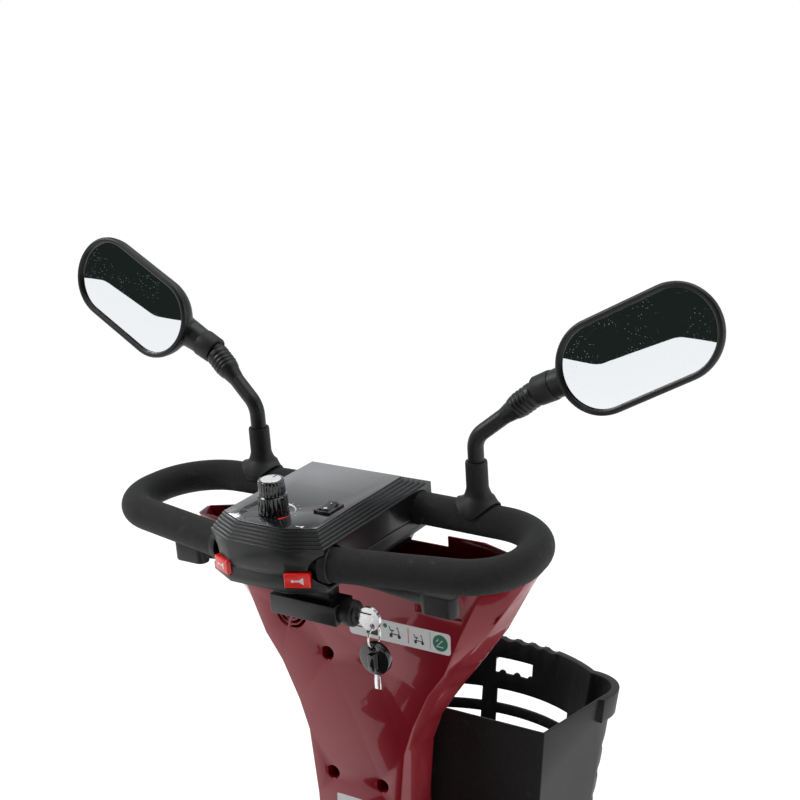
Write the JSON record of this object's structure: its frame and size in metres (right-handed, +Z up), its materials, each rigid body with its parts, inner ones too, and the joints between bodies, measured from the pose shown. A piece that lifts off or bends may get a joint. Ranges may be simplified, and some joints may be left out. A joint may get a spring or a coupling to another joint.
{
  "type": "mobility scooter",
  "caption": "Compact four-wheeled mobility scooter with a delta handlebar tiller, mirrors, front basket, swivel seat and flip-up arms.",
  "frame": {"origin": "on the ground under the middle of the scooter", "axes": "+X to the rider's right, +Y the way it drives, +Z up"},
  "size_m": [0.83, 1.18, 1.1706],
  "materials": {
    "frame_steel": "black powder coat",
    "steel": "machined steel",
    "alloy": "cast alloy, satin",
    "black_plastic": "fine-textured black moulding",
    "gloss_black": "smooth glossy black",
    "panel_gloss": "glossy display overlay",
    "red_cover": "wine-red metallic lacquer",
    "red_button": "bright red moulding",
    "foam": "grained black foam grip",
    "rubber": "ribbed black rubber",
    "tyre": "black tyre with tread",
    "mirror": "mirror glass",
    "battery": "dark grey case",
    "board": "green circuit board",
    "lamp": "clear lens",
    "red_lamp": "red lens",
    "vinyl": "black stitched vinyl",
    "vinyl_pad": "padded black arm skin"
  },
  "bodies": {
    "chassis": {"chassis_frame": "frame_steel", "transaxle": "alloy", "floor_deck": "black_plastic", "deck_mat": "rubber", "front_cover": "red_cover", "front_bumper": "rubber", "headlight": "lamp", "rear_cover": "red_cover", "battery_pack": "battery", "tail_lamps": "red_lamp", "anti_tip_bar": "frame_steel", "seat_post": "steel"},
    "column": {"steering_column": "frame_steel"},
    "tie_rod": {"tie_rod": "steel"},
    "tiller": {"tiller_tube": "frame_steel", "handlebar": "steel", "foam_grips": "foam", "console_base": "black_plastic", "console_cover": "black_plastic", "display_panel": "panel_gloss", "circuit_board": "board", "rocker_bezel": "black_plastic", "lock_barrel": "black_plastic", "mirror_mounts": "black_plastic", "shroud_rear": "red_cover", "shroud_front": "red_cover", "shroud_screws": "steel"},
    "speed_knob": {"speed_knob": "gloss_black"},
    "power_rocker": {"power_rocker": "gloss_black"},
    "throttle": {"throttle_lever": "black_plastic"},
    "key": {"key": "black_plastic"},
    "key_ring": {"key_ring": "steel"},
    "spare_key": {"spare_key": "black_plastic"},
    "basket": {"basket": "black_plastic"},
    "seat": {"seat_frame": "frame_steel", "seat_cushion": "vinyl"},
    "backrest": {"backrest_frame": "frame_steel", "backrest_cushion": "vinyl"},
    "knuckle_left": {"knuckle_left": "frame_steel"},
    "wheel_front_left": {"rim_front_left": "alloy", "tyre_front_left": "tyre"},
    "wheel_rear_left": {"rim_rear_left": "alloy", "tyre_rear_left": "tyre", "half_shaft_left": "steel"},
    "horn_left": {"horn_button_left": "red_button"},
    "mirror_stem_left": {"mirror_stem_left": "black_plastic"},
    "mirror_left": {"mirror_head_left": "black_plastic", "mirror_glass_left": "mirror"},
    "armrest_left": {"armrest_left": "vinyl_pad"},
    "knuckle_right": {"knuckle_right": "frame_steel"},
    "wheel_front_right": {"rim_front_right": "alloy", "tyre_front_right": "tyre"},
    "wheel_rear_right": {"rim_rear_right": "alloy", "tyre_rear_right": "tyre", "half_shaft_right": "steel"},
    "horn_right": {"horn_button_right": "red_button"},
    "mirror_stem_right": {"mirror_stem_right": "black_plastic"},
    "mirror_right": {"mirror_head_right": "black_plastic", "mirror_glass_right": "mirror"},
    "armrest_right": {"armrest_right": "vinyl_pad"}
  },
  "joints": [
    {"name": "steering", "type": "hinge", "parent": "chassis", "child": "column", "pos_m": [0, 0.36172, 0.14888], "axis": [0, -0.1219, 0.9925], "range_deg": [-35, 35]},
    {"name": "tie_rod_pivot", "type": "hinge", "parent": "column", "child": "tie_rod", "pos_m": [0, 0.32012, 0.06103], "axis": [0, -0.1219, 0.9925], "range_deg": [-36, 36]},
    {"name": "tiller_tilt", "type": "hinge", "parent": "column", "child": "tiller", "pos_m": [0, 0.34125, 0.31563], "axis": [1, 0, 0], "range_deg": [-4, 12]},
    {"name": "kingpin_left", "type": "hinge", "parent": "chassis", "child": "knuckle_left", "pos_m": [-0.172, 0.407, 0.112], "axis": [0, -0.1219, 0.9925], "range_deg": [-36, 36]},
    {"name": "wheel_front_left_spin", "type": "hinge", "parent": "knuckle_left", "child": "wheel_front_left", "pos_m": [-0.231, 0.407, 0.112], "axis": [1, 0, 0], "continuous": true},
    {"name": "wheel_rear_left_spin", "type": "hinge", "parent": "chassis", "child": "wheel_rear_left", "pos_m": [-0.231, -0.43, 0.112], "axis": [1, 0, 0], "continuous": true},
    {"name": "horn_left_press", "type": "slide", "parent": "tiller", "child": "horn_left", "axis": [0.3907, 0.9136, 0.1122], "range_m": [0, 0.0025], "stiffness_N_per_m": 600},
    {"name": "mirror_left_swivel", "type": "hinge", "parent": "tiller", "child": "mirror_stem_left", "pos_m": [-0.145, 0.26166, 0.96376], "axis": [0, -0.1219, 0.9925], "range_deg": [-60, 60]},
    {"name": "mirror_left_tilt", "type": "hinge", "parent": "mirror_stem_left", "child": "mirror_left", "pos_m": [-0.215, 0.26867, 1.04623], "axis": [1, 0, 0], "range_deg": [-15, 15]},
    {"name": "armrest_left_flip", "type": "hinge", "parent": "seat", "child": "armrest_left", "pos_m": [-0.228, -0.47, 0.702], "axis": [1, 0, 0], "range_deg": [0, 95]},
    {"name": "kingpin_right", "type": "hinge", "parent": "chassis", "child": "knuckle_right", "pos_m": [0.172, 0.407, 0.112], "axis": [0, -0.1219, 0.9925], "range_deg": [-36, 36]},
    {"name": "wheel_front_right_spin", "type": "hinge", "parent": "knuckle_right", "child": "wheel_front_right", "pos_m": [0.231, 0.407, 0.112], "axis": [1, 0, 0], "continuous": true},
    {"name": "wheel_rear_right_spin", "type": "hinge", "parent": "chassis", "child": "wheel_rear_right", "pos_m": [0.231, -0.43, 0.112], "axis": [1, 0, 0], "continuous": true},
    {"name": "horn_right_press", "type": "slide", "parent": "tiller", "child": "horn_right", "axis": [-0.3907, 0.9136, 0.1122], "range_m": [0, 0.0025], "stiffness_N_per_m": 600},
    {"name": "mirror_right_swivel", "type": "hinge", "parent": "tiller", "child": "mirror_stem_right", "pos_m": [0.145, 0.26166, 0.96376], "axis": [0, -0.1219, 0.9925], "range_deg": [-60, 60]},
    {"name": "mirror_right_tilt", "type": "hinge", "parent": "mirror_stem_right", "child": "mirror_right", "pos_m": [0.215, 0.26867, 1.04623], "axis": [1, 0, 0], "range_deg": [-15, 15]},
    {"name": "armrest_right_flip", "type": "hinge", "parent": "seat", "child": "armrest_right", "pos_m": [0.228, -0.47, 0.702], "axis": [1, 0, 0], "range_deg": [0, 95]},
    {"name": "speed_dial", "type": "hinge", "parent": "tiller", "child": "speed_knob", "pos_m": [-0.008, 0.11074, 0.92105], "axis": [0, -0.1219, 0.9925], "range_deg": [-135, 135]},
    {"name": "power_switch", "type": "hinge", "parent": "tiller", "child": "power_rocker", "pos_m": [0.041, 0.1397, 0.9232], "axis": [1, 0, 0], "range_deg": [-12, 0]},
    {"name": "throttle_wigwag", "type": "hinge", "parent": "tiller", "child": "throttle", "pos_m": [0, 0.17296, 0.84104], "axis": [0, -0.1219, 0.9925], "range_deg": [-12, 12], "stiffness_Nm_per_rad": 2},
    {"name": "ignition_key", "type": "hinge", "parent": "tiller", "child": "key", "pos_m": [0.079, 0.13644, 0.81842], "axis": [-1, 0, 0], "range_deg": [0, 90]},
    {"name": "key_ring_swing", "type": "hinge", "parent": "key", "child": "key_ring", "pos_m": [0.097, 0.13776, 0.8077], "axis": [0, 0.9925, 0.1219], "range_deg": [-20, 20]},
    {"name": "spare_key_swing", "type": "hinge", "parent": "key_ring", "child": "spare_key", "pos_m": [0.097, 0.14044, 0.78586], "axis": [0, 0.9925, 0.1219], "range_deg": [-20, 20]},
    {"name": "basket_lift", "type": "slide", "parent": "tiller", "child": "basket", "axis": [0, -0.1219, 0.9925], "range_m": [0, 0.06]},
    {"name": "seat_swivel", "type": "hinge", "parent": "chassis", "child": "seat", "pos_m": [0, -0.285, 0.452], "axis": [0, 0, 1], "range_deg": [-45, 45]},
    {"name": "backrest_fold", "type": "hinge", "parent": "seat", "child": "backrest", "pos_m": [0, -0.514, 0.572], "axis": [-1, 0, 0], "range_deg": [0, 70]}
  ],
  "couplings": [
    {"joint": "tie_rod_pivot", "follows": "steering", "ratio": -1},
    {"joint": "kingpin_left", "follows": "steering", "ratio": 1},
    {"joint": "kingpin_right", "follows": "steering", "ratio": 1}
  ]
}
